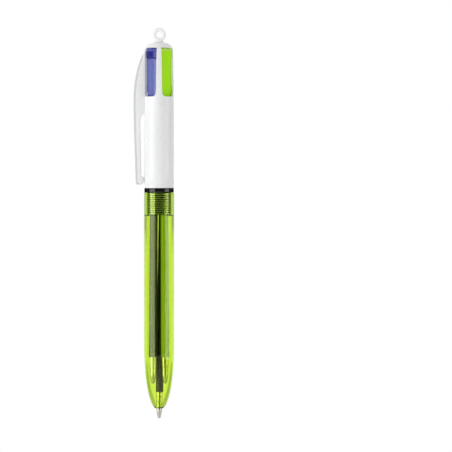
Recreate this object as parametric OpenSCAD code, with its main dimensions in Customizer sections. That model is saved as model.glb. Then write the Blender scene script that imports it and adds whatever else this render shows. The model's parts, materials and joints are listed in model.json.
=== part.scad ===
// Multicolour click pen: four spring-loaded sliders, each pushing its own refill.
// Units are millimetres. The pen points down: +Z runs along the axis, from the tip to the ring.
// The origin is on the axis, on the face where the barrel meets the collar.
// The clip is on the -X side. The black refill is out and the other three are in.

/* [Barrel] */
// Length of the barrel, from its mouth to the collar
barrel_l = 80.2; // [79.6:0.1:81]
// Outer radius of the barrel
barrel_r = 5.6; // [5.55:0.05:5.8]
// Wall thickness of the barrel
barrel_wall = 0.95; // [0.85:0.05:0.98]
// Length of the tapering nose
nose_l = 24.3; // [23.5:0.1:26]
// Fullness of the nose: 2 is an ellipse and more is blunter
nose_power = 2.2; // [2.1:0.05:2.6]
// Radius of the hole that the point comes out of
mouth_bore_r = 1.22; // [1.2:0.01:1.28]

/* [Housing] */
// Height of the black collar between the barrel and the housing
collar_l = 1.5; // [1.2:0.1:2]
// Outer radius of the collar
collar_r = 5.44; // [5.38:0.01:5.44]
// Outer radius of the housing's lower half
housing_r = 5.5; // [5.45:0.01:5.52]
// Height of the housing's closed top
housing_top = 55.8; // [55.6:0.1:56.2]
// Lower end of the slider slots
slot_low = 35.5; // [35.5:0.1:36]
// Upper end of the slider slots
slot_high = 53.6; // [53.6:0.02:53.7]
// Width of a slider slot
slot_w = 5.7; // [5.64:0.02:5.74]

/* [Clip] */
// Largest distance of the clip's outer face from the axis
clip_reach = 9.5; // [9.4:0.05:9.6]
// Width of the clip at its top
clip_top_w = 2.4; // [2.2:0.1:2.6]
// Width of the clip at its lower end
clip_low_w = 3.2; // [2.8:0.1:3.4]
// Thickness of the clip's arm at its hinge
clip_t = 2.5; // [2.3:0.05:2.5]

/* [Ring] */
// Radius of the ring at the top
ring_r = 2.5; // [2.4:0.05:2.6]
// Radius of the hole through the ring
ring_bore_r = 1.12; // [1.05:0.01:1.2]
// Length of the ring along its hole
ring_l = 3.1; // [2.9:0.1:3.3]

/* [Refills] */
// Stroke of a slider
stroke = 13; // [12.6:0.1:13.2]
// Length of a refill, from the ball to the top of its tube
refill_l = 106; // [105.8:0.1:106.2]
// Outer radius of a refill's tube
tube_r = 1.42; // [1.38:0.01:1.43]
// Bore radius of a refill's tube
tube_bore_r = 1.0; // [0.98:0.01:1.05]
// Length of the metal point below the tube
point_l = 9.85; // [9.6:0.05:10.2]
// Radius of the writing ball
ball_r = 0.5; // [0.46:0.01:0.52]
// Radius of a spring's wire
wire_r = 0.1; // [0.08:0.01:0.11]
// Turns in a spring
spring_turns = 9; // [7:1:11]

/* [Hidden] */
$fn = 96;
eps = 0.01;
far = 30;

// Where each slider stands around the axis, in degrees from +X
red_turn = 135;
blue_turn = 225;
lime_turn = 315;
black_turn = 45;

// Barrel and the thread that holds it
nose_z = -barrel_l;
nose_rows = 26;
nose_spacing = 1.5;
nose_overrun = 0.6;
mouth_l = 1.4;
thread_l = 8.4;
thread_pitch = 0.8;
thread_root_r = 4.85;
thread_crest_r = 4.72;
sleeve_r = 4.55;
sleeve_crest_r = 4.66;
sleeve_tooth_rise = 0.06;
sleeve_bore_r = 4.2;
thread_tooth = 0.32;
mouth_round = 0.2;

// Housing
housing_z = collar_l;
housing_bore_r = 4.6;
plug_bore_r = 1.12;
slot_corner_r = 1.3;
slot_depth_x = 3.3;
waist_z = 40.3;
waist_in = 0.1;
shoulder_z = 49.2;
shoulder_in = 0.22;
dome_r = 5.15;
dome_z = 52.8;
dome_power = 0.88;
bevel_in = 0.4;
bevel_tilt = 45.8;
bevel_drop = 1;
spigot_top_z = 6.6;
spigot_r = 4.55;
guide_t = 1.4;
guide_top_z = spigot_top_z + guide_t;
guide_gap = 0.08;

// Ring plug
ring_z = 58.5;
ring_round = 0.4;
neck_r = 1.5;
stem_r = 1.1;
stem_low_z = 40;

// Clip
hinge_z = 31.8;
hinge_x = -(clip_reach - clip_t / 2);
hinge_gap = 0.03;
clip_low_z = 2.8;
clip_rows = 12;
web_low_z = 30.4;
web_in_r = 4.9;
clip_taper = 0.35;
clip_bump_r = housing_r + 0.1;
clip_top_in = 4.1;
clip_top_power = 2.6;
clip_low_in = 0.85;
clip_low_power = 1.15;

// Slider, in a frame whose +X points away from the pen's axis
body_in = 2.25;
body_half_w = 2.15;
body_top_z = 53.5;
face_in = 3.2;
bar_out = 3.55;
bar_half_w = 2.72;
head_out = 3.95;
head_low_z = 50;
head_top_z = 53.2;
head_flare = 0.7;
head_bevel = 0.45;
flange_in = 3.12;
flange_out = 3.4;
flange_half_w = 3;
flange_low_z = 37;
foot_z = 35.05;
foot_r = 1.6;
foot_top_z = 39;
spigot_pin_r = 0.8;
spigot_pin_l = 4;

// Refill: it hangs from its slider and leans so that its point meets the mouth
tube_top_r = 2.5;
point_splay = 0.55;
tube_l = refill_l - point_l;
lean_out = asin(tube_top_r / refill_l);
lean_in = -asin(point_splay / refill_l);
point_plug_r = tube_bore_r - 0.02;
point_plug_l = 4;
point_wide_r = 1.15;
point_wide_l = 3.6;
point_slim_r = 1.05;
point_cone_l = 2.25;
point_rim_r = 0.56;
rim_back = 0.35;
socket_gap = 0.015;
ink_way_r = 0.3;
spring_r = 1.62;
wire_sides = 5;
turn_steps = 16;
spring_gap = 0.05;

function nose_r(z) =
  barrel_r * pow(1 - pow(max(0, nose_l - z) / (nose_l + nose_overrun), nose_power), 1 / nose_power);

// Outer face of the clip: a long shallow bow that closes in towards the top
function clip_r(z) =
  z > hinge_z ? clip_reach - clip_top_in * pow((z - hinge_z) / (dome_z - hinge_z), clip_top_power)
              : clip_reach - clip_low_in * pow((hinge_z - z) / (hinge_z - clip_low_z), clip_low_power);

function clip_t_at(z) = clip_t - clip_taper * (hinge_z - z) / (hinge_z - clip_low_z);

function nose_heights(top) = [for (i = [0 : nose_rows]) top * pow(i / nose_rows, nose_spacing)];

module barrel() {
  color([0.66, 0.86, 0.16, 0.6])
    difference() {
      translate([0, 0, nose_z])
        rotate_extrude()
          polygon(concat(
            [[0, 0]],
            [[nose_r(0) - mouth_round, 0]],
            [for (z = nose_heights(nose_l)) [nose_r(z + mouth_round), max(z, mouth_round)]],
            [[barrel_r, barrel_l], [0, barrel_l]]));
      barrel_cavity();
      translate([0, 0, nose_z - eps])
        cylinder(r = mouth_bore_r, h = nose_l);
    }
}

// The hollow follows the nose inside, and ends in the thread's wider bore at the top
module barrel_cavity() {
  translate([0, 0, nose_z])
    rotate_extrude()
      polygon(concat(
        [[0, mouth_l]],
        [for (z = nose_heights(nose_l - mouth_l)) [nose_r(z + mouth_l) - barrel_wall, z + mouth_l]],
        [[barrel_r - barrel_wall, barrel_l + eps], [0, barrel_l + eps]]));
  difference() {
    translate([0, 0, -thread_l])
      cylinder(r = thread_root_r, h = thread_l + eps);
    for (i = [1 : floor(thread_l / thread_pitch) - 1])
      translate([0, 0, -i * thread_pitch - thread_tooth])
        tube(thread_root_r + eps, thread_crest_r, thread_tooth);
  }
}

module tube(outer, inner, h) {
  difference() {
    cylinder(r = outer, h = h);
    translate([0, 0, -eps])
      cylinder(r = inner, h = h + 2 * eps);
  }
}

module collar() {
  color([0.06, 0.07, 0.05])
    difference() {
      union() {
        cylinder(r = collar_r, h = collar_l);
        translate([0, 0, -thread_l])
          cylinder(r = sleeve_r, h = thread_l + eps);
        for (i = [1 : floor(thread_l / thread_pitch) - 1])
          translate([0, 0, -i * thread_pitch + sleeve_tooth_rise])
            cylinder(r = sleeve_crest_r, h = thread_tooth);
        translate([0, 0, collar_l - eps])
          cylinder(r = spigot_r, h = spigot_top_z - collar_l + eps);
      }
      translate([0, 0, -thread_l - eps])
        cylinder(r = sleeve_bore_r, h = thread_l + spigot_top_z + 2 * eps);
    }
}

// Four openings that merge at the centre guide the refills between their two slopes
module guide_disc() {
  low = spigot_top_z;
  out_r = tube_top_r - (foot_z - stroke - low) * tan(lean_out);
  in_r = tube_top_r - (foot_z - low) * tan(lean_in);
  hole_r = tube_r + guide_gap;
  color([0.92, 0.92, 0.9])
    translate([0, 0, low])
      difference() {
        cylinder(r = spigot_r, h = guide_t);
        for (turn = [red_turn, blue_turn, lime_turn, black_turn])
          rotate([0, 0, turn])
            translate([0, 0, -eps]) {
              translate([in_r, 0, 0])
                cylinder(r = hole_r, h = guide_t + 2 * eps);
              translate([0, -hole_r, 0])
                cube([in_r, 2 * hole_r, guide_t + 2 * eps]);
            }
      }
}

module housing() {
  color([0.93, 0.93, 0.94])
    difference() {
      union() {
        rotate_extrude()
          polygon([
            [0, housing_z], [housing_r, housing_z], [housing_r, hinge_z],
            [housing_r - waist_in, waist_z], [housing_r - shoulder_in, shoulder_z], [dome_r, dome_z],
            for (a = [10 : 10 : 80]) [
              dome_r * pow(cos(a), dome_power),
              dome_z + (housing_top - dome_z) * sin(a)],
            [0, housing_top]]);
        clip_root();
      }
      translate([0, 0, housing_z - eps])
        cylinder(r = housing_bore_r, h = slot_high - housing_z + eps);
      cylinder(r = plug_bore_r, h = far * 2);
      for (turn = [red_turn, blue_turn, lime_turn, black_turn])
        rotate([0, 0, turn]) {
          slot();
          slot_bevel();
        }
    }
}

// A slot through the wall, with round lower corners
module slot() {
  rotate([90, 0, 90])
    translate([0, 0, slot_depth_x])
      linear_extrude(height = barrel_r) {
        translate([-slot_w / 2, slot_low + slot_corner_r])
          square([slot_w, slot_high - slot_low - slot_corner_r]);
        for (side = [-1, 1])
          translate([side * (slot_w / 2 - slot_corner_r), slot_low + slot_corner_r])
            circle(r = slot_corner_r);
        translate([-slot_w / 2 + slot_corner_r, slot_low])
          square([slot_w - 2 * slot_corner_r, slot_corner_r + eps]);
      }
}

// A flat that leans in above the slot
module slot_bevel() {
  translate([dome_r - bevel_in, 0, slot_high])
    rotate([0, -bevel_tilt, 0])
      translate([0, -far / 2, -bevel_drop])
        cube([far, far, far]);
}

// The fixed top of the clip: a fin that joins the clip to the housing
module clip_root() {
  difference() {
    clip_slab([
      for (i = [0 : clip_rows])
        let (z = hinge_z + (dome_z - hinge_z) * i / clip_rows)
          [-clip_r(z), z],
      [-web_in_r, dome_z],
      [-web_in_r, web_low_z],
      [hinge_x + clip_t / 2 + hinge_gap, web_low_z],
      [hinge_x + clip_t / 2 + hinge_gap, hinge_z]]);
    translate([hinge_x, far / 2, hinge_z])
      rotate([90, 0, 0])
        cylinder(r = clip_t / 2 + hinge_gap, h = far);
  }
}

// The free arm below the hinge, with a bump that presses on the pocket's cloth
module clip_arm() {
  color([0.93, 0.93, 0.94])
    union() {
      clip_slab([
        for (i = [0 : clip_rows])
          let (z = hinge_z - (hinge_z - clip_low_z - 0.9) * i / clip_rows)
            [-clip_r(z), z],
        [-clip_r(clip_low_z) + 0.5, clip_low_z],
        [-clip_bump_r - 1.2, clip_low_z],
        [-clip_bump_r - 0.15, 3.7],
        [-clip_bump_r - 0.03, 4.5],
        [-clip_bump_r - 0.25, 5.4],
        for (i = [clip_rows - 2 : -1 : 0])
          let (z = hinge_z - (hinge_z - clip_low_z) * i / clip_rows)
            [-clip_r(z) + clip_t_at(z), z]]);
      intersection() {
        translate([hinge_x, far / 2, hinge_z])
          rotate([90, 0, 0])
            cylinder(r = clip_t / 2, h = far);
        clip_width();
      }
    }
}

// A side outline given as [x, z] points, cut to the clip's width
module clip_slab(outline) {
  intersection() {
    translate([0, far / 2, 0])
      rotate([90, 0, 0])
        linear_extrude(height = far)
          polygon(outline);
    clip_width();
  }
}

// The clip widens towards its lower end
module clip_width() {
  rotate([90, 0, -90])
    linear_extrude(height = far)
      polygon([
        [-clip_low_w / 2, clip_low_z - 1], [clip_low_w / 2, clip_low_z - 1],
        [clip_top_w / 2, dome_z], [-clip_top_w / 2, dome_z]]);
}

module ring_plug() {
  color([0.93, 0.93, 0.94])
    difference() {
      union() {
        translate([0, 0, ring_z])
          rotate([90, 0, 0])
            rotate_extrude()
              ring_half_outline();
        translate([0, 0, housing_top])
          cylinder(r = neck_r, h = ring_z - housing_top - ring_bore_r);
        translate([0, 0, stem_low_z])
          cylinder(r = stem_r, h = housing_top - stem_low_z + eps);
      }
      translate([0, 0, ring_z])
        rotate([90, 0, 0])
          rotate_extrude()
            bore_half_outline();
    }
}

// The ring without its hole: a short disc with round outer edges
module ring_half_outline() {
  side = ring_l / 2 - ring_round;
  polygon(concat(
    [[0, -ring_l / 2]],
    [for (a = [-90 : 15 : 0]) [ring_r - ring_round + ring_round * cos(a), -side + ring_round * sin(a)]],
    [for (a = [0 : 15 : 90]) [ring_r - ring_round + ring_round * cos(a), side + ring_round * sin(a)]],
    [[0, ring_l / 2]]));
}

// The hole, which flares at both mouths
module bore_half_outline() {
  side = ring_l / 2 - ring_round;
  flare_x = ring_bore_r + ring_round;
  polygon(concat(
    [[0, -ring_l], [flare_x, -ring_l]],
    [for (a = [270 : -15 : 180]) [flare_x + ring_round * cos(a), -side + ring_round * sin(a)]],
    [for (a = [180 : -15 : 90]) [flare_x + ring_round * cos(a), side + ring_round * sin(a)]],
    [[flare_x, ring_l], [0, ring_l]]));
}

// How far a slider is pushed down
function drop(out) = out ? stroke : 0;

// A flat thumb face with a raised head, backed by flanges wider than the slot
module slider(turn, out) {
  rotate([0, 0, turn])
    translate([0, 0, -drop(out)]) {
      rotate([90, 0, 0])
        linear_extrude(height = 2 * bar_half_w, center = true)
          polygon([
            [face_in, foot_z], [bar_out, foot_z], [bar_out, head_low_z - head_flare],
            [head_out, head_low_z], [head_out, head_top_z - head_bevel],
            [head_out - head_bevel, head_top_z], [face_in, head_top_z]]);
      translate([body_in, -body_half_w, foot_z])
        cube([flange_out - body_in, 2 * body_half_w, body_top_z - foot_z]);
      translate([flange_in, -flange_half_w, flange_low_z])
        cube([flange_out - flange_in, 2 * flange_half_w, body_top_z - flange_low_z]);
      intersection() {
        translate([tube_top_r, 0, foot_z])
          cylinder(r = foot_r, h = foot_top_z - foot_z);
        translate([0, -foot_r, foot_z])
          cube([bar_out, 2 * foot_r, foot_top_z - foot_z]);
      }
      translate([tube_top_r, 0, foot_z - spigot_pin_l])
        cylinder(r = spigot_pin_r, h = spigot_pin_l + eps);
    }
}

// Places its children with +Z up the refill and the origin at the top of the tube
module on_refill(turn, out) {
  rotate([0, 0, turn])
    translate([tube_top_r, 0, foot_z - drop(out)])
      rotate([0, out ? lean_out : lean_in, 0])
        children();
}

module refill_tube(turn, out) {
  on_refill(turn, out)
    translate([0, 0, -tube_l])
      tube(tube_r, tube_bore_r, tube_l - spring_gap);
}

module refill_point(turn, out) {
  ball_z = ball_r - point_l;
  cone_low = rim_back - point_l;
  color([0.68, 0.65, 0.55])
    on_refill(turn, out)
      translate([0, 0, -tube_l])
        difference() {
          rotate_extrude()
            polygon([
              [0, cone_low], [point_rim_r, cone_low], [point_slim_r, cone_low + point_cone_l],
              [point_slim_r, -point_wide_l], [point_wide_r, -point_wide_l],
              [point_wide_r, -spring_gap], [point_plug_r, -spring_gap],
              [point_plug_r, point_plug_l], [0, point_plug_l]]);
          translate([0, 0, ball_z])
            sphere(r = ball_r + socket_gap);
          translate([0, 0, ball_z])
            cylinder(r = ink_way_r, h = point_l + point_plug_l);
        }
}

module refill_ball(turn, out) {
  color([0.6, 0.58, 0.52])
    on_refill(turn, out)
      translate([0, 0, ball_r - refill_l])
        sphere(r = ball_r);
}

// A compression spring around the refill, between the guide and the slider's foot
module spring(turn, out) {
  lean = out ? lean_out : lean_in;
  h = (foot_z - drop(out) - guide_top_z) / cos(lean) - 2 * (wire_r + spring_gap);
  color([0.75, 0.76, 0.78])
    on_refill(turn, out)
      translate([0, 0, -h - wire_r - spring_gap])
        coil(spring_r, wire_r, h, spring_turns);
}

module coil(r, wire, h, turns) {
  steps = turns * turn_steps;
  points = [for (i = [0 : steps]) for (j = [0 : wire_sides - 1])
    let (a = 360 * turns * i / steps, b = 360 * j / wire_sides)
      [(r + wire * cos(b)) * cos(a), (r + wire * cos(b)) * sin(a), h * i / steps + wire * sin(b)]];
  sides = [for (i = [0 : steps - 1]) for (j = [0 : wire_sides - 1]) for (half = [0, 1])
    let (k = (j + 1) % wire_sides, low = i * wire_sides, up = low + wire_sides)
      half == 0 ? [low + j, up + j, up + k] : [low + j, up + k, low + k]];
  low_cap = [for (j = [0 : wire_sides - 1]) j];
  top_cap = [for (j = [wire_sides - 1 : -1 : 0]) steps * wire_sides + j];
  polyhedron(points = points, faces = concat([low_cap], sides, [top_cap]), convexity = 10);
}

module red_slider() { color([0.77, 0.13, 0.18]) slider(red_turn, false); }
module blue_slider() { color([0.09, 0.13, 0.5]) slider(blue_turn, false); }
module lime_slider() { color([0.62, 0.86, 0.04]) slider(lime_turn, false); }
module black_slider() { color([0.05, 0.05, 0.06]) slider(black_turn, true); }

module red_tube() { color([0.9, 0.86, 0.85, 0.7]) refill_tube(red_turn, false); }
module blue_tube() { color([0.85, 0.87, 0.9, 0.7]) refill_tube(blue_turn, false); }
module lime_tube() { color([0.87, 0.9, 0.85, 0.7]) refill_tube(lime_turn, false); }
module black_tube() { color([0.1, 0.1, 0.1]) refill_tube(black_turn, true); }

housing();
clip_arm();
ring_plug();
collar();
guide_disc();
barrel();
red_slider();
spring(red_turn, false);  // red_spring
red_tube();
refill_point(red_turn, false);  // red_point
refill_ball(red_turn, false);  // red_ball
blue_slider();
spring(blue_turn, false);  // blue_spring
blue_tube();
refill_point(blue_turn, false);  // blue_point
refill_ball(blue_turn, false);  // blue_ball
lime_slider();
spring(lime_turn, false);  // lime_spring
lime_tube();
refill_point(lime_turn, false);  // lime_point
refill_ball(lime_turn, false);  // lime_ball
black_slider();
spring(black_turn, true);  // black_spring
black_tube();
refill_point(black_turn, true);  // black_point
refill_ball(black_turn, true);  // black_ball
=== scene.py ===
"""The looks of a multicolour click pen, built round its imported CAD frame.

The pen's axis is Z and its clip is on -X. Design sizes are in millimetres and are turned
into metres where a mesh is made. Most places come from the frame's own boxes.
"""
import json
import math
from itertools import product

import bmesh
import bpy
from mathutils import Matrix, Vector


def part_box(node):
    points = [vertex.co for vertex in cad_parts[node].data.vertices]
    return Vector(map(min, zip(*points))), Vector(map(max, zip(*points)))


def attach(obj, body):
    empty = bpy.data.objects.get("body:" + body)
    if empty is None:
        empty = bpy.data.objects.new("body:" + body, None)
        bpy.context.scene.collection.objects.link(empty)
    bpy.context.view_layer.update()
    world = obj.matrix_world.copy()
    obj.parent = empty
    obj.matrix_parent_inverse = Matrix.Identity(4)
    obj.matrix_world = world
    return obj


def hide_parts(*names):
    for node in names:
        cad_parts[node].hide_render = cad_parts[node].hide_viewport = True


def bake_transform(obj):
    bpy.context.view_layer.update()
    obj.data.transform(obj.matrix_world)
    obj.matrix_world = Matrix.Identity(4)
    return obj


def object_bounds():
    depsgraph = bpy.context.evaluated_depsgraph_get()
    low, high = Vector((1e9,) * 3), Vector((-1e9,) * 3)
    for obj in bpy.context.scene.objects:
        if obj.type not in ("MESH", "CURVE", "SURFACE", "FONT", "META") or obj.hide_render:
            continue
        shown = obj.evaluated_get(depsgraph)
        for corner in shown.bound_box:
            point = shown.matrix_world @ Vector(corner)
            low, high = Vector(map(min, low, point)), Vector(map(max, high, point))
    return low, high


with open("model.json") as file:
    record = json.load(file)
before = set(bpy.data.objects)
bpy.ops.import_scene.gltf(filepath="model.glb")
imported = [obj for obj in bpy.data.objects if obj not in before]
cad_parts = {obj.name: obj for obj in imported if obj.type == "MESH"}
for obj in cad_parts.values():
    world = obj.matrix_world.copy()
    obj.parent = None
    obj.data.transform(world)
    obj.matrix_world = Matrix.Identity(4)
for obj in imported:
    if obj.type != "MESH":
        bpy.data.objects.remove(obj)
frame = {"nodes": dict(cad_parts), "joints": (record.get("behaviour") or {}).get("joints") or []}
cad_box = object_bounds()

MM = 0.001
COLOURS = ("red", "blue", "lime", "black")


# ---------------------------------------------------------------- sizes from the frame

def low(node, axis):
    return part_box(node)[0][axis] / MM


def high(node, axis):
    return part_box(node)[1][axis] / MM


def centre_of(node):
    lowest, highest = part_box(node)
    return (lowest + highest) / 2


def joint(name):
    return next(j for j in frame["joints"] if j["name"] == name)


BARREL_R = high("barrel", 0)
BARREL_L = -low("barrel", 2)
COLLAR_R = high("collar", 0)
SLEEVE_LOW = low("collar", 2)
SPIGOT_TOP = high("collar", 2)
GUIDE_TOP = high("guide_disc", 2)
HOUSING_R = high("housing", 0)
HOUSING_Z = low("housing", 2)
HOUSING_TOP = high("housing", 2)
CLIP_REACH = -low("housing", 0)
CLIP_LOW = low("clip_arm", 2)
HINGE_Z = joint("clip_flex")["pos_m"][2] / MM
RING_R = high("ring_plug", 0)
RING_HALF = high("ring_plug", 1)
RING_Z = high("ring_plug", 2) - RING_R
SLIDER_TOP = high("red_slider", 2)
BALL_R = (high("red_ball", 2) - low("red_ball", 2)) / 2

# Sizes that the CAD has too, and that no box gives
NOSE_L = 24.3
NOSE_OVERRUN = 0.6
NOSE_POWER = 2.2
WALL = 0.95
THREAD_L = 8.4
THREAD_PITCH = 0.8
MOUTH_BORE_R = 1.22
BORE_R = 4.6
SLOT_LOW = 35.5
SLOT_HIGH = 53.6
SLOT_HALF = 2.85
SLOT_CORNER = 1.3
DOME_R = 5.15
DOME_Z = 52.8
DOME_POWER = 0.88
BEVEL_X = DOME_R - 0.4
BEVEL_SLOPE = math.tan(math.radians(45.8))
CLIP_THICK = 2.5
CLIP_TAPER = 0.35
CLIP_TOP_W = 2.4
CLIP_LOW_W = 3.2
CLIP_TOP_IN = 4.1
CLIP_TOP_POWER = 2.6
CLIP_LOW_IN = 0.85
CLIP_LOW_POWER = 1.15
RING_BORE_R = 1.12
TUBE_R = 1.42
TUBE_BORE_R = 1.0
POINT_L = 9.85
POINT_PLUG_L = 4

# Sizes that only the looks have
SLOT_FLARE = 1.035
INK_L = 78


# ---------------------------------------------------------------- shader nodes

def node_material(name):
    material = bpy.data.materials.new(name)
    material.use_nodes = True
    tree = material.node_tree
    return material, tree, tree.nodes["Principled BSDF"]


def link(tree, a, b):
    tree.links.new(a, b)


def axes(tree, output="Object"):
    """X, Y and Z of a texture coordinate. Object is the point itself, in the object's own metres."""
    coords = tree.nodes.new("ShaderNodeTexCoord")
    split = tree.nodes.new("ShaderNodeSeparateXYZ")
    link(tree, coords.outputs[output], split.inputs["Vector"])
    return split.outputs


def facing(tree, blend=0.5):
    """0 where the surface faces the eye, and 1 where it turns away."""
    edge = tree.nodes.new("ShaderNodeLayerWeight")
    edge.inputs["Blend"].default_value = blend
    return edge.outputs["Facing"]


def noise(tree, scale, detail=2.0, stretch=None):
    """Noise in the object's own metres. scale counts features per metre."""
    coords = tree.nodes.new("ShaderNodeTexCoord")
    node = tree.nodes.new("ShaderNodeTexNoise")
    node.inputs["Scale"].default_value = scale
    node.inputs["Detail"].default_value = detail
    source = coords.outputs["Object"]
    if stretch:
        mapping = tree.nodes.new("ShaderNodeMapping")
        mapping.inputs["Scale"].default_value = stretch
        link(tree, source, mapping.inputs["Vector"])
        source = mapping.outputs["Vector"]
    link(tree, source, node.inputs["Vector"])
    return node.outputs["Fac"]


def remap(tree, value, to_min, to_max, from_min=0.3, from_max=0.7):
    """Turns from_min..from_max into to_min..to_max. Most noise lies between 0.3 and 0.7."""
    node = tree.nodes.new("ShaderNodeMapRange")
    node.inputs["From Min"].default_value = from_min
    node.inputs["From Max"].default_value = from_max
    node.inputs["To Min"].default_value = to_min
    node.inputs["To Max"].default_value = to_max
    link(tree, value, node.inputs["Value"])
    return node.outputs["Result"]


def feed(tree, value, socket):
    """Gives a socket a number, a colour or another node's output."""
    if isinstance(value, bpy.types.NodeSocket):
        link(tree, value, socket)
    elif isinstance(value, tuple):
        socket.default_value = (*value, 1)
    else:
        socket.default_value = value


def calculate(tree, operation, *values):
    node = tree.nodes.new("ShaderNodeMath")
    node.operation = operation
    for value, socket in zip(values, node.inputs):
        feed(tree, value, socket)
    return node.outputs[0]


def mix(tree, share, a, b, kind="RGBA"):
    """a where share is 0, and b where it is 1."""
    node = tree.nodes.new("ShaderNodeMix")
    node.data_type = kind
    link(tree, share, node.inputs["Factor"])
    feed(tree, a, node.inputs["A"])
    feed(tree, b, node.inputs["B"])
    return node.outputs["Result"]


def mix_surfaces(tree, share, a, b):
    """The material's surface is shader a where share is 0, and b where it is 1."""
    node = tree.nodes.new("ShaderNodeMixShader")
    link(tree, share, node.inputs["Fac"])
    link(tree, a.outputs["BSDF"], node.inputs[1])
    link(tree, b.outputs["BSDF"], node.inputs[2])
    link(tree, node.outputs["Shader"], tree.nodes["Material Output"].inputs["Surface"])


def two_tones(tree, value, dark, light):
    """A colour that wanders between dark and light as value does."""
    node = tree.nodes.new("ShaderNodeValToRGB")
    stops = node.color_ramp.elements
    stops[0].position = 0.35
    stops[1].position = 0.65
    stops[0].color = (*dark, 1)
    stops[1].color = (*light, 1)
    link(tree, value, node.inputs["Fac"])
    return node.outputs["Color"]


def vary_colour(tree, bsdf, value, dark, light):
    link(tree, two_tones(tree, value, dark, light), bsdf.inputs["Base Color"])


def repaint(tree, bsdf, share, colour):
    """Mixes colour into the base colour that is there already."""
    base = bsdf.inputs["Base Color"]
    link(tree, mix(tree, share, base.links[0].from_socket, colour), base)


def add_bump(tree, bsdf, value, strength, distance):
    bump = tree.nodes.new("ShaderNodeBump")
    bump.inputs["Strength"].default_value = strength
    bump.inputs["Distance"].default_value = distance
    link(tree, value, bump.inputs["Height"])
    link(tree, bump.outputs["Normal"], bsdf.inputs["Normal"])
    return bump


# ---------------------------------------------------------------- materials

def moulded(name, dark, light, rough, grain=0.04, gloss=0.5, subsurface=0.0):
    """Injection-moulded plastic: faint flow marks in the colour, a fine skin in the gloss."""
    material, tree, bsdf = node_material(name)
    vary_colour(tree, bsdf, noise(tree, 160, 3, (1, 1, 0.35)), dark, light)
    link(tree, remap(tree, noise(tree, 900, 4), rough - 0.05, rough + 0.07), bsdf.inputs["Roughness"])
    add_bump(tree, bsdf, noise(tree, 2600, 3), grain, 0.00004)
    bsdf.inputs["IOR"].default_value = 1.5
    bsdf.inputs["Specular IOR Level"].default_value = gloss
    if subsurface:
        depth = 0.0012
        bsdf.inputs["Subsurface Weight"].default_value = subsurface
        bsdf.inputs["Subsurface Radius"].default_value = (depth, depth, depth)
        bsdf.inputs["Subsurface Scale"].default_value = 1.0
    return material


def clear_lime():
    """Clear tinted plastic. The tint is taken up inside the wall, so thick paths look deeper.

    Shadow rays, diffuse rays and rays that have bounced many times go straight through.
    """
    material, tree, bsdf = node_material("lime_clear")
    bsdf.inputs["Transmission Weight"].default_value = 1.0
    bsdf.inputs["IOR"].default_value = 1.49
    link(tree, remap(tree, noise(tree, 700, 3), 0.01, 0.035), bsdf.inputs["Roughness"])
    skin = add_bump(tree, bsdf, noise(tree, 140, 2, (1, 1, 0.2)), 0.05, 0.00002)
    height = axes(tree)["Z"]
    turns = calculate(tree, "MULTIPLY", height, 2 * math.pi / (THREAD_PITCH * MM))
    rings = add_bump(tree, bsdf, calculate(tree, "SINE", turns), 1.0, 0.00002)
    at_thread = remap(tree, height, 0.0, 1.0, (-THREAD_L - 0.1) * MM, (-THREAD_L + 0.1) * MM)
    link(tree, at_thread, rings.inputs["Strength"])
    link(tree, skin.outputs["Normal"], rings.inputs["Normal"])
    link(tree, mix(tree, at_thread, (1, 1, 1), (0.87, 0.96, 1.0)), bsdf.inputs["Base Color"])
    path = tree.nodes.new("ShaderNodeLightPath")
    soft_ray = calculate(tree, "MAXIMUM", path.outputs["Is Shadow Ray"], path.outputs["Is Diffuse Ray"])
    deep_ray = calculate(tree, "GREATER_THAN", path.outputs["Ray Depth"], 6.5)
    through = tree.nodes.new("ShaderNodeBsdfTransparent")
    through.inputs["Color"].default_value = (0.86, 0.97, 0.42, 1)
    mix_surfaces(tree, calculate(tree, "MAXIMUM", soft_ray, deep_ray), bsdf, through)
    absorb = tree.nodes.new("ShaderNodeVolumeAbsorption")
    absorb.inputs["Color"].default_value = (0.860, 0.960, 0.01, 1)
    absorb.inputs["Density"].default_value = 1500
    link(tree, absorb.outputs["Volume"], tree.nodes["Material Output"].inputs["Volume"])
    return material


def tube_wall(name, tint, fill, ink_top):
    """Thin milky tube. Its wall magnifies the ink, so it takes the ink's colour up to ink_top."""
    material, tree, bsdf = node_material(name)
    bsdf.inputs["Roughness"].default_value = 0.2
    full = two_tones(tree, noise(tree, 300, 2, (1, 1, 0.1)), tuple(c * 0.85 for c in fill), fill)
    filled = remap(tree, axes(tree)["Z"], 1.0, 0.0, (ink_top - 0.3) * MM, ink_top * MM)
    link(tree, mix(tree, filled, tint, full), bsdf.inputs["Base Color"])
    clear = tree.nodes.new("ShaderNodeBsdfTransparent")
    clear.inputs["Color"].default_value = (0.93, 0.94, 0.95, 1)
    milky = remap(tree, facing(tree, 0.35), 0.16, 0.55, 0.0, 1.0)
    mix_surfaces(tree, calculate(tree, "MAXIMUM", milky, filled), clear, bsdf)
    return material


def ink(name, colour):
    material, tree, bsdf = node_material(name)
    vary_colour(tree, bsdf, noise(tree, 500, 3, (1, 1, 0.15)), tuple(c * 0.75 for c in colour), colour)
    bsdf.inputs["Roughness"].default_value = 0.12
    bsdf.inputs["Coat Weight"].default_value = 0.4
    return material


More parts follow.
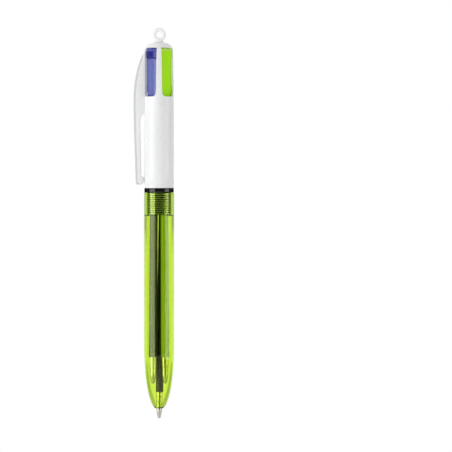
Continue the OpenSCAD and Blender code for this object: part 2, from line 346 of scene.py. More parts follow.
def metal(name, dark, light, rough, rings=0.0):
    """Turned or drawn metal. rings adds fine tool marks round the pen's axis."""
    material, tree, bsdf = node_material(name)
    bsdf.inputs["Metallic"].default_value = 1.0
    vary_colour(tree, bsdf, noise(tree, 900, 3), dark, light)
    link(tree, remap(tree, noise(tree, 2500, 3), rough - 0.05, rough + 0.08), bsdf.inputs["Roughness"])
    if rings:
        coords = tree.nodes.new("ShaderNodeTexCoord")
        wave = tree.nodes.new("ShaderNodeTexWave")
        wave.bands_direction = "Z"
        wave.inputs["Scale"].default_value = 2600
        wave.inputs["Distortion"].default_value = 1.5
        link(tree, coords.outputs["Object"], wave.inputs["Vector"])
        add_bump(tree, bsdf, wave.outputs["Fac"], rings, 0.00001)
    return material


def dull_at_rim(material):
    """The gloss fades where the surface turns away, so that the outline stays dark."""
    tree = material.node_tree
    gloss = remap(tree, facing(tree), 0.5, 0.0, 0.36, 0.5)
    link(tree, gloss, tree.nodes["Principled BSDF"].inputs["Specular IOR Level"])


def paint_shade_on_clip_side(material, x, colour):
    """Painted shade: beyond x the clip's rounded outer side is painted darker towards its outline."""
    tree = material.node_tree
    bsdf = tree.nodes["Principled BSDF"]
    beyond = remap(tree, axes(tree)["X"], 1.0, 0.0, (x - 0.4) * MM, x * MM)
    outward = remap(tree, axes(tree, "Normal")["X"], 1.0, 0.0, -0.12, 0.0)
    turned = remap(tree, facing(tree), 0.0, 1.0, 0.004, 0.05)
    share = calculate(tree, "MULTIPLY", calculate(tree, "MULTIPLY", beyond, outward), turned)
    link(tree, remap(tree, share, 0.5, 0.05, 0.0, 1.0), bsdf.inputs["Specular IOR Level"])
    repaint(tree, bsdf, share, colour)


def paint_highlight_from(material, colour, z, way):
    """Paints a paler colour on part of a slider as a painted highlight: below z if way is -1, above z
    if 1.
    """
    tree = material.node_tree
    height = axes(tree)["Z"]
    share = remap(tree, height, 0.5 - way / 2, 0.5 + way / 2, (z - 0.1) * MM, (z + 0.1) * MM)
    repaint(tree, tree.nodes["Principled BSDF"], share, colour)


WHITE = moulded("white_plastic", (0.86, 0.865, 0.87), (0.90, 0.905, 0.91), 0.30, 0.05, subsurface=0.4)
# Painted shade: the clip's rounded outer side is painted a darker grey towards its outline
paint_shade_on_clip_side(WHITE, -5.8, (0.58, 0.585, 0.59))
GUIDE = moulded("guide_plastic", (0.80, 0.80, 0.78), (0.86, 0.86, 0.84), 0.45)
BLACK_GLOSS = moulded("black_gloss", (0.002, 0.0025, 0.0015), (0.004, 0.0045, 0.003), 0.10, 0.02)
dull_at_rim(BLACK_GLOSS)
CLEAR_LIME = clear_lime()
STEEL = metal("spring_steel", (0.55, 0.55, 0.56), (0.70, 0.70, 0.71), 0.25)
NICKEL = metal("nickel_silver", (0.56, 0.52, 0.42), (0.72, 0.69, 0.60), 0.32, 0.25)
BALL_METAL = metal("ball_metal", (0.50, 0.49, 0.46), (0.60, 0.59, 0.56), 0.10)
GREASE = ink("follower_grease", (0.42, 0.36, 0.20))

SLIDER_LOOKS = {
    "red": moulded("red_plastic", (0.50, 0.012, 0.020), (0.58, 0.018, 0.028), 0.24),
    "blue": moulded("blue_plastic", (0.008, 0.012, 0.19), (0.012, 0.018, 0.24), 0.22),
    "lime": moulded("lime_plastic", (0.40, 0.86, 0.003), (0.45, 0.93, 0.004), 0.36, gloss=0.15),
    "black": moulded("black_plastic", (0.008, 0.008, 0.009), (0.013, 0.013, 0.014), 0.25),
}
FACE_TOP = 49.4
BEVEL_LOW = 52.3
# Painted sheen: the blue and red bars are painted paler below FACE_TOP. Painted highlight: the blue,
# lime and red heads are painted paler above BEVEL_LOW, on their top bevels
paint_highlight_from(SLIDER_LOOKS["blue"], (0.125, 0.15, 0.42), FACE_TOP, -1)
paint_highlight_from(SLIDER_LOOKS["blue"], (0.09, 0.12, 0.42), BEVEL_LOW, 1)
paint_highlight_from(SLIDER_LOOKS["lime"], (0.62, 0.95, 0.14), BEVEL_LOW, 1)
paint_highlight_from(SLIDER_LOOKS["red"], (0.71, 0.277, 0.285), FACE_TOP, -1)
paint_highlight_from(SLIDER_LOOKS["red"], (0.72, 0.20, 0.22), BEVEL_LOW, 1)

INK_COLOURS = {
    "red": (0.35, 0.008, 0.012), "blue": (0.008, 0.022, 0.09),
    "lime": (0.40, 0.45, 0.04), "black": (0.005, 0.005, 0.006),
}
TUBE_TINTS = {
    "red": (0.75, 0.62, 0.60), "blue": (0.60, 0.63, 0.72),
    "lime": (0.66, 0.74, 0.55), "black": (0.55, 0.55, 0.56),
}
INKS = {}
TUBE_WALLS = {}
for colour in COLOURS:
    fill = INK_COLOURS[colour]
    ink_top = low(f"{colour}_tube", 2) + INK_L
    INKS[colour] = ink(f"{colour}_ink", fill)
    TUBE_WALLS[colour] = tube_wall(f"{colour}_tube_wall", TUBE_TINTS[colour], fill, ink_top)


# ---------------------------------------------------------------- mesh tools

def finish_mesh(name, bm, material, crisp=40):
    """Makes a smooth-shaded object, with its edges sharp where they turn by more than crisp degrees."""
    bmesh.ops.remove_doubles(bm, verts=bm.verts, dist=1e-7)
    bmesh.ops.recalc_face_normals(bm, faces=bm.faces)
    mesh = bpy.data.meshes.new(name)
    bm.to_mesh(mesh)
    bm.free()
    mesh.materials.append(material)
    mesh.shade_smooth()
    mesh.set_sharp_from_angle(angle=math.radians(crisp))
    obj = bpy.data.objects.new(name, mesh)
    bpy.context.scene.collection.objects.link(obj)
    return obj


def place(obj, body, slot, *nodes):
    """Rides obj on a body and hides the CAD nodes it stands for. The slot argument is not used."""
    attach(obj, body)
    if nodes:
        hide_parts(*nodes)


def arc(cx, cz, radius, start, stop, steps):
    """Points on an arc, from start to stop in degrees."""
    turn = [math.radians(start + (stop - start) * i / steps) for i in range(steps + 1)]
    return [(cx + radius * math.cos(a), cz + radius * math.sin(a)) for a in turn]


def rounded(points, steps=4):
    """A closed outline with its corners rounded. Each point is (x, z) or (x, z, radius)."""
    out = []
    n = len(points)
    for i, point in enumerate(points):
        p = Vector(point[:2])
        radius = point[2] if len(point) > 2 else 0
        if not radius:
            out.append(tuple(p))
            continue
        to_last = (Vector(points[i - 1][:2]) - p).normalized()
        to_next = (Vector(points[(i + 1) % n][:2]) - p).normalized()
        half = to_last.angle(to_next) / 2
        back = radius / math.tan(half)
        a, b = p + to_last * back, p + to_next * back
        centre = p + (to_last + to_next).normalized() * (radius / math.sin(half))
        for k in range(steps + 1):
            mid = a.lerp(b, k / steps) - centre
            out.append(tuple(centre + mid.normalized() * radius))
    return out


def lathe(name, outline, material, segments, crisp=40, matrix=None):
    """Turns a closed outline of (radius, z) points about Z. Points at radius 0 become poles."""
    bm = bmesh.new()
    add_lathe(bm, outline, segments)
    if matrix:
        bmesh.ops.transform(bm, matrix=matrix, verts=bm.verts)
    return finish_mesh(name, bm, material, crisp)


def add_lathe(bm, outline, segments):
    rings = []
    for r, z in outline:
        if r < 1e-6:
            rings.append([bm.verts.new((0, 0, z * MM))] * segments)
            continue
        ring = []
        for i in range(segments):
            a = 2 * math.pi * i / segments
            ring.append(bm.verts.new((r * MM * math.cos(a), r * MM * math.sin(a), z * MM)))
        rings.append(ring)
    for k, ring in enumerate(rings):
        above = rings[(k + 1) % len(rings)]
        for i in range(segments):
            j = (i + 1) % segments
            corners = []
            for v in (ring[i], ring[j], above[j], above[i]):
                if v not in corners:
                    corners.append(v)
            if len(corners) > 2:
                bm.faces.new(corners)


def add_box(bm, a, b):
    """Adds the box between two opposite corners."""
    corners = [bm.verts.new((x * MM, y * MM, z * MM)) for x, y, z in product(*zip(a, b))]
    for face in ((0, 1, 3, 2), (4, 6, 7, 5), (0, 4, 5, 1), (2, 3, 7, 6), (0, 2, 6, 4), (1, 5, 7, 3)):
        bm.faces.new([corners[i] for i in face])


def bridge(bm, rings):
    """Joins closed rings of points, one after the other, and closes both ends."""
    for ring, after in zip(rings, rings[1:]):
        for i in range(len(ring)):
            j = (i + 1) % len(ring)
            bm.faces.new((ring[i], ring[j], after[j], after[i]))
    bm.faces.new(rings[0])
    bm.faces.new(list(reversed(rings[-1])))


def bevelled(obj, width, angle):
    """Rounds an object's crisp edges in its geometry."""
    bevel = obj.modifiers.new("soft_edges", "BEVEL")
    bevel.width = width * MM
    bevel.segments = 3
    bevel.limit_method = "ANGLE"
    bevel.angle_limit = math.radians(angle)


def ramp(value, start, stop):
    """0 at start and 1 at stop, and level beyond both."""
    return min(1, max(0, (value - start) / (stop - start)))


# ---------------------------------------------------------------- barrel, collar and guide

def nose_r(z):
    """Outer radius of the barrel at a height above its mouth."""
    if z >= NOSE_L:
        return BARREL_R
    share = (NOSE_L - z) / (NOSE_L + NOSE_OVERRUN)
    return BARREL_R * (1 - share ** NOSE_POWER) ** (1 / NOSE_POWER)


def build_barrel():
    """A clear shell with a rounded mouth and thread rings inside its top."""
    rows, spacing = 40, 1.4
    heights = [NOSE_L * (i / rows) ** spacing for i in range(rows + 1)]
    lip, lip_in, rim = 0.12, 0.11, 0.25
    outer = arc(nose_r(0) - lip_in, lip, lip, -90, -10, 4)
    outer += [(nose_r(z), z) for z in heights if z > 0.3]
    outer += arc(BARREL_R - rim, BARREL_L - rim, rim, 0, 90, 5)
    root, crest, first_ring = 4.87, 4.71, 0.35
    ring = ((root, 0), (root, 0.22), (crest, 0.36), (crest, 0.46), (root, 0.6))
    inner = [(root + 0.1, BARREL_L)]
    for i in range(int(THREAD_L / THREAD_PITCH)):
        z = BARREL_L - first_ring - i * THREAD_PITCH
        inner += [(r, z - drop) for r, drop in ring]
    inner += [(root, BARREL_L - THREAD_L - 0.1), (BARREL_R - WALL, BARREL_L - THREAD_L - 0.4)]
    cavity_low = 1.5
    cavity = [z for z in reversed(heights) if z > cavity_low]
    inner += [(max(nose_r(z) - WALL, MOUTH_BORE_R + 0.05), z) for z in cavity]
    inner += [(MOUTH_BORE_R + 0.2, 1.3), (MOUTH_BORE_R, 1.0), (MOUTH_BORE_R, 0.08)]
    outline = [(r, z - BARREL_L) for r, z in outer + inner]
    place(lathe("clear_barrel", outline, CLEAR_LIME, 128, 30), "barrel", "lime_clear", "barrel")


def build_collar():
    """The glossy ring, with the threaded sleeve below and the spigot above."""
    sleeve, bore, spigot, edge = 4.5, 4.2, 4.5, 0.12
    outline = [(spigot, HOUSING_Z)]
    outline += arc(COLLAR_R - edge, HOUSING_Z - edge, edge, 90, 0, 4)
    outline += arc(COLLAR_R - edge, edge, edge, 0, -90, 4)
    outline.append((sleeve, 0))
    ring = ((0, 0.44), (0.11, 0.33), (0.11, 0.15), (0, 0.04))
    for i in range(1, int(-SLEEVE_LOW / THREAD_PITCH)):
        outline += [(sleeve + out, rise - i * THREAD_PITCH) for out, rise in ring]
    outline += [(sleeve, SLEEVE_LOW + 0.2), (sleeve - 0.15, SLEEVE_LOW), (bore, SLEEVE_LOW)]
    outline += [(bore, SPIGOT_TOP), (spigot - 0.15, SPIGOT_TOP), (spigot, SPIGOT_TOP - 0.2)]
    place(lathe("collar_ring", outline, BLACK_GLOSS, 128, 35), "root", "black_gloss", "collar")


def finish_guide():
    """The guide disc keeps its CAD shape, and only gets its plastic."""
    slots = frame["nodes"]["guide_disc"].data.materials
    slots.clear()
    slots.append(GUIDE)


# ---------------------------------------------------------------- housing

def housing_r(z):
    """Outer radius of the housing below its dome."""
    stations = [(HOUSING_Z, HOUSING_R), (HINGE_Z, HOUSING_R), (40.3, HOUSING_R - 0.1),
                (49.2, HOUSING_R - 0.22), (DOME_Z, DOME_R)]
    for (z0, r0), (z1, r1) in zip(stations, stations[1:]):
        if z <= z1:
            share = max(0, (z - z0) / (z1 - z0))
            return r0 + (r1 - r0) * share
    return DOME_R


def housing_rows():
    """(outer radius, outer height, inner radius, inner height) of each ring of the shell."""
    # The foot has a shallow groove, given as rises above the foot and depths
    groove = ((0, 0.12), (0.12, 0.03), (0.85, 0.03), (1.0, 0.10), (1.12, 0.10), (1.25, 0))
    rows = [(HOUSING_R - depth, HOUSING_Z + rise, BORE_R, HOUSING_Z + rise) for rise, depth in groove]
    plain = [8, 14, 20, 26, 31, SLOT_LOW - 0.8]
    corner = [SLOT_LOW + SLOT_CORNER * (1 - math.cos(math.radians(a))) for a in range(0, 91, 18)]
    upper = [38.5, 41, 44, 47, 49.2, 51, 52.2]
    rows += [(housing_r(z), z, BORE_R, z) for z in plain + corner + upper]
    rows += [(dome_point(dome_angle(z))[0], z, BORE_R, z) for z in (53.0, SLOT_HIGH)]
    first, last, steps = math.degrees(dome_angle(SLOT_HIGH)), 86, 9
    for i in range(1, steps + 1):
        r, z = dome_point(math.radians(first + (last - first) * i / steps))
        rows.append((r, z, BORE_R * (1 - i / (steps + 0.3)), SLOT_HIGH))
    return rows


def dome_angle(z):
    """Where the dome's outline is at a height, as the angle that dome_point takes."""
    return math.asin((z - DOME_Z) / (HOUSING_TOP - DOME_Z))


def dome_point(a):
    """A point of the dome's outline, from its foot at 0 to its top at a quarter turn."""
    return DOME_R * math.cos(a) ** DOME_POWER, DOME_Z + (HOUSING_TOP - DOME_Z) * math.sin(a)


def quadrant_columns():
    """A quarter's columns: ("slot", side offset in mm), or ("land", share of the land beside it)."""
    slot_half, land = 6, 7
    inside = [("slot", SLOT_HALF * k / slot_half) for k in range(-slot_half, slot_half + 1)]
    right = [("land", k / land) for k in range(1, land + 1)]
    left = [("land", -k / land) for k in range(land - 1, 0, -1)]
    return left + inside + right


def column_angle(kind, value, r, flare=1.0):
    """Angle from the slot's middle of a column, at radius r."""
    half = SLOT_HALF * flare
    eighth = math.pi / 4
    edge = math.asin(half / r) if r > half else eighth
    edge = min(edge, eighth * 0.9)
    # Near the dome's top a ring is too small for true offsets, so the columns share its angle
    small = r < half * 1.54
    if kind == "slot":
        return edge * value / SLOT_HALF if small else math.asin(value * flare / r)
    return math.copysign(edge + (eighth - edge) * abs(value), value)


def build_housing():
    """The white casing: one grid outside, one inside, joined at the slots, the foot and the top."""
    rows = housing_rows()
    turns = sorted(slider_turn(colour) for colour in COLOURS)
    columns = [(turn, kind, value) for turn in turns for kind, value in quadrant_columns()]
    bm = bmesh.new()
    outer, inner = [], []
    for r_out, z_out, r_in, z_in in rows:
        ring_out, ring_in = [], []
        for turn, kind, value in columns:
            a = column_angle(kind, value, r_out, SLOT_FLARE)
            x, y = r_out * math.cos(a), r_out * math.sin(a)
            if z_out > SLOT_HIGH - 0.01:
                x = min(x, BEVEL_X - (z_out - SLOT_HIGH) * BEVEL_SLOPE)
            p = Matrix.Rotation(turn, 3, "Z") @ Vector((x, y, z_out))
            ring_out.append(bm.verts.new(p * MM))
            a = column_angle(kind, value, max(r_in, 0.3))
            p = Matrix.Rotation(turn, 3, "Z") @ Vector((r_in * math.cos(a), r_in * math.sin(a), z_in))
            ring_in.append(bm.verts.new(p * MM))
        outer.append(ring_out)
        inner.append(ring_in)
    count = len(columns)

    def is_open(row, column):
        """Whether the slot is here, so that there is no skin."""
        here, after = columns[column], columns[(column + 1) % count]
        in_slot = here[1] == "slot" and after[1] == "slot" and here[0] == after[0]
        middle = (rows[row][1] + rows[row + 1][1]) / 2
        return in_slot and SLOT_LOW < middle < SLOT_HIGH

    used = {}
    for row in range(len(rows) - 1):
        for c in range(count):
            if is_open(row, c):
                continue
            d = (c + 1) % count
            bm.faces.new((outer[row][c], outer[row][d], outer[row + 1][d], outer[row + 1][c]))
            bm.faces.new((inner[row][c], inner[row + 1][c], inner[row + 1][d], inner[row][d]))
            for edge in (((row, c), (row, d)), ((row, d), (row + 1, d)),
                         ((row + 1, d), (row + 1, c)), ((row + 1, c), (row, c))):
                key = frozenset(edge)
                used[key] = None if key in used else edge
    for edge in used.values():
        if edge:
            (r0, c0), (r1, c1) = edge
            bm.faces.new((outer[r1][c1], outer[r0][c0], inner[r0][c0], inner[r1][c1]))
    round_slot_corners(rows, columns, outer, inner)
    obj = finish_mesh("housing_shell", bm, WHITE, 50)
    bevelled(obj, 0.16, 48)
    place(obj, "root", "white_plastic", "housing")


def round_slot_corners(rows, columns, outer, inner):
    """Moves the lower corner points of each slot on to an arc."""
    tiny = 1e-6
    for i, (turn, kind, value) in enumerate(columns):
        if kind != "slot" or abs(value) < SLOT_HALF - SLOT_CORNER - 0.01:
            continue
        side = math.copysign(1, value)
        centre_y, centre_z = side * (SLOT_HALF - SLOT_CORNER), SLOT_LOW + SLOT_CORNER
        for k, row in enumerate(rows):
            z = row[1]
            on_side = abs(abs(value) - SLOT_HALF) < tiny and SLOT_LOW - tiny <= z <= centre_z + tiny
            on_foot = abs(z - SLOT_LOW) < tiny
            if not (on_side or on_foot):
                continue
            reach = Vector((value - centre_y, z - centre_z))
            if reach.length < tiny:
                continue
            along = reach.normalized() * SLOT_CORNER
            new_y, new_z = centre_y + along.x, centre_z + along.y
            for ring, r in ((outer, row[0]), (inner, row[2])):
                x = math.sqrt(r * r - new_y * new_y)
                p = Matrix.Rotation(turn, 3, "Z") @ Vector((x, new_y, new_z))
                ring[k][i].co = p * MM


# ---------------------------------------------------------------- clip and ring

def clip_r(z):
    """Distance of the clip's outer face from the axis."""
    if z > HINGE_Z:
        return CLIP_REACH - CLIP_TOP_IN * ((z - HINGE_Z) / (DOME_Z - HINGE_Z)) ** CLIP_TOP_POWER
    return CLIP_REACH - CLIP_LOW_IN * ((HINGE_Z - z) / (HINGE_Z - CLIP_LOW)) ** CLIP_LOW_POWER


def clip_section(outer, inner, half):
    """One closed ring of the clip: a bar between two distances from the axis, rounder outside."""
    steps = 6
    wide = min(1.0, half * 0.8, (outer - inner) * 0.5)
    tight = min(0.5, half * 0.8, (outer - inner) * 0.45)
    points = []
    for cx, cy, corner, start in (
            (outer - wide, half - wide, wide, 0), (inner + tight, half - tight, tight, 90),
            (inner + tight, tight - half, tight, 180), (outer - wide, wide - half, wide, 270)):
        points += arc(cx, cy, corner, start, start + 90, steps)
    return points


def clip_heights():
    """Heights of the clip's rings, close together where its outline curves."""
    end = [CLIP_LOW + rise for rise in (0.02, 0.15, 0.4, 0.8)]
    bump = [CLIP_LOW + 1.2 + 0.5 * i for i in range(6)]
    bump_end = [5.35 + 0.15 * i for i in range(6)]
    arm = [7.5 + 1.5 * i for i in range(13)]
    root = [26.2, 26.8, 27.3, 28.0, 28.7, 29.3, 29.9, 30.4, 30.8, 31.0, 31.4, 32]
    fin = [33.5, 35, 37, 39, 41, 43, 45, 46.5, 48, 49.2, 50.2, 51.0, 51.6, 52.0, 52.4, 52.7]
    return sorted(end + bump + bump_end + arm + root + fin)


def build_clip():
    """Fin and arm in one skin."""
    tip_l, bump_gap = 0.8, 0.12
    bump_low, bump_full, bump_end, bump_top = 2.6, 4.1, 5.5, 6.1
    root_low, root_high, root_depth = 27.2, 30.6, 0.6
    crown_low, crown_top = 51.0, 52.7
    bm = bmesh.new()
    rings = []
    for z in clip_heights():
        outer = clip_r(z)
        inner = outer - CLIP_THICK + CLIP_TAPER * max(0, HINGE_Z - z) / (HINGE_Z - CLIP_LOW)
        bump = ramp(z, bump_top, bump_end) * ramp(z, bump_low, bump_full) ** 0.5
        inner -= bump * (inner - HOUSING_R - bump_gap)
        tip = 1 - ramp(z, CLIP_LOW, CLIP_LOW + tip_l)
        outer -= 0.55 * tip ** 2
        inner += 0.45 * tip ** 2
        inner += (HOUSING_R - root_depth - inner) * ramp(z, root_low, root_high) ** 1.3
        width = CLIP_LOW_W + (CLIP_TOP_W - CLIP_LOW_W) * (z - CLIP_LOW) / (DOME_Z - CLIP_LOW)
        half = width / 2 - 0.25 * tip ** 2 - 0.35 * ramp(z, crown_low, crown_top) ** 2
        section = clip_section(outer, inner, half)
        rings.append([bm.verts.new((-x * MM, y * MM, z * MM)) for x, y in section])
    bridge(bm, rings)
    obj = finish_mesh("pocket_clip", bm, WHITE, 60)
    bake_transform(obj)
    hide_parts("clip_arm")


def build_ring():
    """The ring and its flared neck, melted together like one moulding."""
    bm = bmesh.new()
    edge = 0.45
    outside, inside, side = RING_R - edge, RING_BORE_R + edge, RING_HALF - edge
    corners = ((outside, side, 0), (inside, side, 90), (inside, -side, 180), (outside, -side, 270))
    outline = []
    for cx, cz, start in corners:
        outline += arc(cx, cz, edge, start, start + 90, 5)
    add_lathe(bm, outline, 64)
    turn = Matrix.Translation((0, 0, RING_Z * MM)) @ Matrix.Rotation(math.radians(90), 4, "X")
    bmesh.ops.transform(bm, matrix=turn, verts=bm.verts)
    stem_low, stem_r, foot_r, neck_r = 40, 1.1, 2.0, 1.4
    flare = ((stem_r, -0.6), (foot_r, -0.45), (foot_r, -0.1), (1.55, 0.15), (neck_r, 0.5),
             (neck_r, 1.0), (1.0, 1.25), (0, 1.3))
    neck = [(0, stem_low), (stem_r, stem_low)] + [(r, HOUSING_TOP + rise) for r, rise in flare]
    add_lathe(bm, neck, 48)
    obj = finish_mesh("lanyard_ring", bm, WHITE, 60)
    melt = obj.modifiers.new("melt", "REMESH")
    melt.mode = "VOXEL"
    melt.voxel_size = 0.1 * MM
    melt.use_smooth_shade = True
    smooth = obj.modifiers.new("smooth", "SMOOTH")
    smooth.factor = 0.5
    smooth.iterations = 6
    place(obj, "root", "white_plastic", "ring_plug")


# ---------------------------------------------------------------- sliders, springs and refills

def slider_drop(colour):
    """How far below its top position a slider stands at rest."""
    return SLIDER_TOP - high(f"{colour}_slider", 2)


def slider_turn(colour):
    """Where a slider stands round the axis, in radians from +X."""
    centre = centre_of(f"{colour}_slider")
    return math.atan2(centre.y, centre.x)


def build_slider(colour):
    """Thumb slider: a flat bar with a raised head, guiding flanges, and a foot for the refill."""
    pin_l = 4
    foot_z = low("lime_slider", 2) + pin_l
    back, bar, head, head_low, head_top = 3.2, 3.55, 3.95, 50.0, 53.2
    outline = rounded([
        (back, foot_z), (bar, foot_z, 0.15), (bar, head_low - 0.7, 0.5), (head, head_low, 0.3),
        (head, head_top - 1.0, 0.3), (head - 0.55, head_top, 0.15), (back, head_top)])
    half = 2.72
    edge = ((0, 0.16), (0.05, 0.05), (0.16, 0))
    sides = [(inward - half, inset) for inward, inset in edge]
    sides += [(half - inward, inset) for inward, inset in reversed(edge)]
    bm = bmesh.new()
    rings = []
    for y, inset in sides:
        rings.append([bm.verts.new((max(back, x - inset) * MM, y * MM, z * MM)) for x, z in outline])
    bridge(bm, rings)
    front, rib_back, rib_half = 3.4, 2.25, 2.15
    flange_low, flange_back, flange_half = 37, 3.12, 3.0
    add_box(bm, (rib_back, -rib_half, foot_z), (front, rib_half, SLIDER_TOP))
    add_box(bm, (flange_back, -flange_half, flange_low), (front, flange_half, SLIDER_TOP))
    add_slider_foot(bm, foot_z, pin_l, front)
    move = Matrix.Translation((0, 0, -slider_drop(colour) * MM))
    move = move @ Matrix.Rotation(slider_turn(colour), 4, "Z")
    bmesh.ops.transform(bm, matrix=move, verts=bm.verts)
    obj = finish_mesh(f"{colour}_thumb_slider", bm, SLIDER_LOOKS[colour], 50)
    bevelled(obj, 0.08, 55)
    place(obj, f"{colour}_slider", f"{colour}_plastic", f"{colour}_slider")


def add_slider_foot(bm, foot_z, pin_l, front):
    """The round foot and the pin that holds the refill, both cut off flat at the slider's front."""
    foot_r, foot_top, pin_r, chamfer = 1.6, 39, 0.8, 0.15
    foot = [(0, foot_z), (foot_r - chamfer, foot_z), (foot_r, foot_z + chamfer),
            (foot_r, foot_top - chamfer), (foot_r - chamfer, foot_top), (0, foot_top)]
    pin_low = foot_z - pin_l
    pin = [(0, pin_low), (pin_r - chamfer, pin_low), (pin_r, pin_low + 0.2),
           (pin_r, foot_z + 0.2), (0, foot_z + 0.2)]
    tube_from_axis = 2.5
    for outline in (foot, pin):
        before = set(bm.verts)
        add_lathe(bm, outline, 32)
        for vert in set(bm.verts) - before:
            vert.co.x = min(vert.co.x + tube_from_axis * MM, front * MM)


def refill_top(colour):
    """The point that a refill leans about, in metres."""
    return Vector(joint(f"{colour}_refill_lean")["pos_m"])


def refill_matrix(colour):
    """Turns refill coordinates (+Z up the tube, origin at its top) into the pen's."""
    pivot = refill_top(colour)
    up = (pivot - centre_of(f"{colour}_ball")).normalized()
    turn = Vector((0, 0, 1)).rotation_difference(up).to_matrix().to_4x4()
    return Matrix.Translation(pivot) @ turn


def refill_length(colour):
    return (refill_top(colour) - centre_of(f"{colour}_ball")).length / MM + BALL_R


def build_refill(colour):
    """Tube, ink with its grease plug, turned point and ball, all on the refill's own line."""
    matrix = refill_matrix(colour)
    body = f"{colour}_refill"
    node = f"{colour}_tube"
    foot = POINT_L - refill_length(colour)
    top = -0.05
    tube = rounded([(TUBE_R, top, 0.1), (TUBE_R, foot, 0.12), (TUBE_BORE_R, foot, 0.05),
                    (TUBE_BORE_R, top, 0.1)], 3)
    place(lathe(f"{colour}_refill_tube", tube, TUBE_WALLS[colour], 48, 40, matrix), body, node, node)
    fill_r = TUBE_BORE_R - 0.02
    dip_r = fill_r * 0.55
    ink_low, ink_top = foot + POINT_PLUG_L + 0.05, foot + INK_L
    column = [(0, ink_low), (fill_r, ink_low), (fill_r, ink_top), (dip_r, ink_top - 0.25),
              (0, ink_top - 0.35)]
    place(lathe(f"{colour}_ink_column", column, INKS[colour], 40, 40, matrix), body, node)
    plug_top = ink_top + 4.5
    plug = [(0, ink_top - 0.3), (dip_r, ink_top - 0.2), (fill_r, ink_top + 0.05), (fill_r, plug_top),
            (fill_r * 0.6, plug_top - 0.3), (0, plug_top - 0.4)]
    place(lathe(f"{colour}_grease_plug", plug, GREASE, 40, 40, matrix), body, node)
    build_point(colour, matrix, foot)


def build_point(colour, matrix, foot):
    """The metal point below the tube's foot, and its writing ball."""
    tip = foot - POINT_L
    plug_r, plug_top = TUBE_BORE_R - 0.02, foot + POINT_PLUG_L
    ink_way_r, wide_r, slim_r, rim_r = 0.30, 1.15, 1.02, 0.56
    wide_low = foot - 3.6
    point = rounded([
        (ink_way_r, plug_top), (plug_r, plug_top, 0.08), (plug_r, foot - 0.05),
        (wide_r, foot - 0.05, 0.06), (wide_r, wide_low, 0.05), (slim_r, wide_low - 0.1),
        (slim_r, tip + 2.9, 0.25), (rim_r, tip + 0.35, 0.04), (0.46, tip + 0.35),
        (0.50, tip + 0.6), (ink_way_r, tip + 1.0)])
    place(lathe(f"{colour}_turned_point", point, NICKEL, 64, 35, matrix), f"{colour}_refill",
          "nickel_silver", f"{colour}_point")
    steps = 16
    middle = [math.pi * i / steps for i in range(1, steps)]
    ball = [(0, tip)]
    ball += [(BALL_R * math.sin(a), tip + BALL_R - BALL_R * math.cos(a)) for a in middle]
    ball.append((0, tip + 2 * BALL_R))
    place(lathe(f"{colour}_writing_ball", ball, BALL_METAL, 32, 60, matrix), f"{colour}_ball",
          "ball_metal", f"{colour}_ball")


def build_spring(colour):
    """A coil with closed ends, standing on the guide and pushing up the slider's foot."""
    matrix = refill_matrix(colour)
    top_z = refill_top(colour).z
    top, slack = -0.12, 0.3
    height = (top_z / MM - GUIDE_TOP) / matrix[2][2] - slack
    wire, mean_r, turns, closed = 0.10, 1.62, 9, 1.25
    per_turn, sides = 20, 8
    closed_pitch = wire * 2.1
    free = height - 2 * closed * closed_pitch
    bm = bmesh.new()
    rings = []
    for i in range(int((turns + 2 * closed) * per_turn) + 1):
        turn = i / per_turn
        a = 2 * math.pi * turn
        z = top - height + closed_pitch * (min(turn, closed) + max(0, turn - closed - turns))
        z += free * ramp(turn, closed, closed + turns)
        centre = Vector((math.cos(a), math.sin(a), 0))
        ring = []
        for k in range(sides):
            b = 2 * math.pi * k / sides
            p = centre * (mean_r + wire * math.cos(b)) + Vector((0, 0, z + wire * math.sin(b)))
            ring.append(bm.verts.new(p * MM))
        rings.append(ring)
    bridge(bm, rings)
    bmesh.ops.transform(bm, matrix=matrix, verts=bm.verts)
    obj = finish_mesh(f"{colour}_return_spring", bm, STEEL, 60)
    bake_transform(obj)
    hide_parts(f"{colour}_spring")


# ---------------------------------------------------------------- stage, light and camera

# Azimuth and elevation in degrees, distance, width and height in metres, and power in watts
SOFTBOXES = {
    "key_left": (-57, 3, 0.6, 0.50, 0.46, 2.2),
    "fill_right": (66, 0, 0.7, 0.455, 0.22, 0.85),
    "top": (10, 75, 0.6, 0.7, 0.7, 0.6),
}


def softbox(name, azimuth, elevation, distance, width, height, watts):
    """An area light that faces the pen. Azimuth 0 is the camera's side, and 90 is +X."""
    light = bpy.data.lights.new(name, "AREA")
    light.shape = "RECTANGLE"
    light.size = width
    light.size_y = height
    light.energy = watts
    obj = bpy.data.objects.new(name, light)
    a, e = math.radians(azimuth), math.radians(elevation)
    centre = Vector((0, 0, (HOUSING_TOP - BARREL_L) / 2 * MM))
    way = Vector((math.sin(a) * math.cos(e), -math.cos(a) * math.cos(e), math.sin(e)))
    obj.location = centre + way * distance
    obj.rotation_euler = way.to_track_quat("Z", "Y").to_euler()
    bpy.context.scene.collection.objects.link(obj)


FILL_WORLD = 0.50
FRONT_WORLD = 0.05
BACKDROP = 1.0


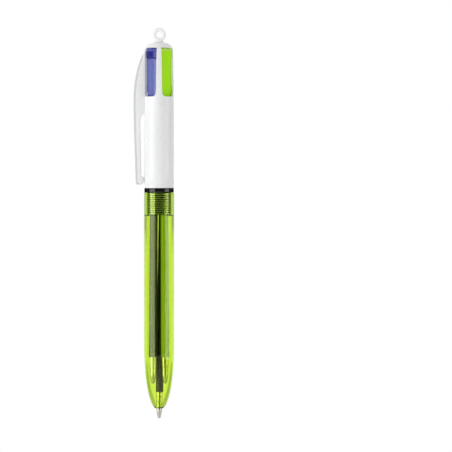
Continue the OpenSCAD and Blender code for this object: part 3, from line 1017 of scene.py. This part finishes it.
def build_world():
    """A white backdrop behind the pen, dark in front of it, and an even fill after a diffuse bounce."""
    world = bpy.data.worlds.new("studio")
    bpy.context.scene.world = world
    world.use_nodes = True
    world.cycles.sampling_method = "NONE"
    tree = world.node_tree
    background = tree.nodes["Background"]
    background.inputs["Color"].default_value = (1, 1, 1, 1)
    path = tree.nodes.new("ShaderNodeLightPath")
    around = remap(tree, axes(tree, "Generated")["Y"], FRONT_WORLD, BACKDROP, 0.1, 0.6)
    seen = mix(tree, path.outputs["Is Camera Ray"], around, BACKDROP, "FLOAT")
    bounced = calculate(tree, "GREATER_THAN", path.outputs["Diffuse Depth"], 0.5)
    link(tree, mix(tree, bounced, seen, FILL_WORLD, "FLOAT"), background.inputs["Strength"])


def build_floor():
    """A plain pale floor, low enough to leave room for the barrel when it is drawn off."""
    reach, cells, room = 1.6, 8, 100
    bm = bmesh.new()
    bmesh.ops.create_grid(bm, x_segments=cells, y_segments=cells, size=reach)
    bmesh.ops.translate(bm, vec=(0, 0, (-BARREL_L - room) * MM), verts=bm.verts)
    material = moulded("pale_floor", (0.90, 0.90, 0.90), (0.92, 0.92, 0.92), 0.6)
    floor = finish_mesh("floor", bm, material)


def build_camera():
    """Level with the pen and far away, with the pen left of the middle of the view."""
    pen_share, side_share, drop_share = 0.864, 0.148, 0.0064
    data = bpy.data.cameras.new("camera")
    data.sensor_width = 36
    data.lens = 800
    data.clip_end = 20
    camera = bpy.data.objects.new("camera", data)
    bpy.context.scene.collection.objects.link(camera)
    pen_high = (RING_Z + RING_R) * MM
    pen_low = cad_box[0][2]
    view_size = (pen_high - pen_low) / pen_share
    distance = view_size * data.lens / data.sensor_width
    height = (pen_high + pen_low) / 2 - drop_share * view_size
    camera.location = (side_share * view_size, -distance, height)
    camera.rotation_euler = (math.radians(90), 0, 0)
    bpy.context.scene.camera = camera


# ---------------------------------------------------------------- the whole pen

build_barrel()
build_collar()
build_housing()
build_clip()
build_ring()
finish_guide()
for colour in COLOURS:
    build_slider(colour)
    build_refill(colour)
    build_spring(colour)

build_world()
build_floor()
build_camera()
for name, setting in SOFTBOXES.items():
    softbox(name, *setting)

scene = bpy.context.scene
scene.view_settings.view_transform = "Standard"
scene.cycles.transmission_bounces = 16
scene.cycles.transparent_max_bounces = 24
scene.cycles.max_bounces = 20
